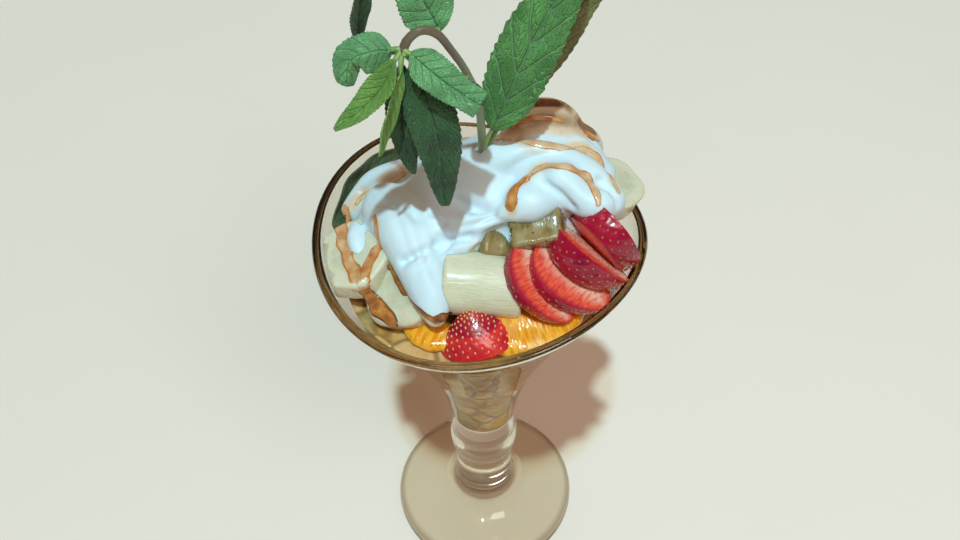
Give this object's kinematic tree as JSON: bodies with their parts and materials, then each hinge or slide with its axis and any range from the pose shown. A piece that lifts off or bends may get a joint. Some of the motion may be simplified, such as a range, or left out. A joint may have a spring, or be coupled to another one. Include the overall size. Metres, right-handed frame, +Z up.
{
  "type": "fruit cup",
  "caption": "Footed glass filled with cut fruit in juice, topped with whipped cream, strawberry slices and a sprig of mint.",
  "frame": {"origin": "on the table, at the middle of the underside of the foot", "axes": "+Z up along the glass; -Y is the front, where the strawberry pieces are; +X is to the right seen from the front"},
  "size_m": [0.1038, 0.1038, 0.2598],
  "materials": {
    "clear_glass": "smooth clear glass",
    "fruit_in_juice": "wet fruit and amber juice",
    "whipped_cream": "soft whipped cream",
    "strawberry": "wet fruit",
    "banana": "wet cut fruit",
    "orange": "wet fruit",
    "kiwi": "wet cut fruit",
    "mint_stem": "plant stalk",
    "mint": "plant leaf"
  },
  "bodies": {
    "root": {"glass": "clear_glass", "fruit_base": "fruit_in_juice", "whipped_cream": "whipped_cream", "strawberry_half": "strawberry", "strawberry_slice_1": "strawberry", "strawberry_slice_2": "strawberry", "strawberry_slice_3": "strawberry", "strawberry_slice_4": "strawberry", "banana_chunk": "banana", "banana_slice_1": "banana", "banana_slice_2": "banana", "banana_slice_3": "banana", "orange_segment_1": "orange", "orange_segment_2": "orange", "kiwi_1": "kiwi", "kiwi_2": "kiwi", "mint_stem": "mint_stem", "mint_leaf_in_glass": "mint", "mint_leaf_1": "mint", "mint_leaf_2": "mint", "mint_leaf_3": "mint", "mint_leaf_4": "mint", "mint_leaf_5": "mint", "mint_leaf_6": "mint", "mint_leaf_7": "mint", "mint_leaf_8": "mint", "mint_leaf_9": "mint", "mint_leaf_10": "mint", "mint_leaf_11": "mint"}
  },
  "joints": []
}
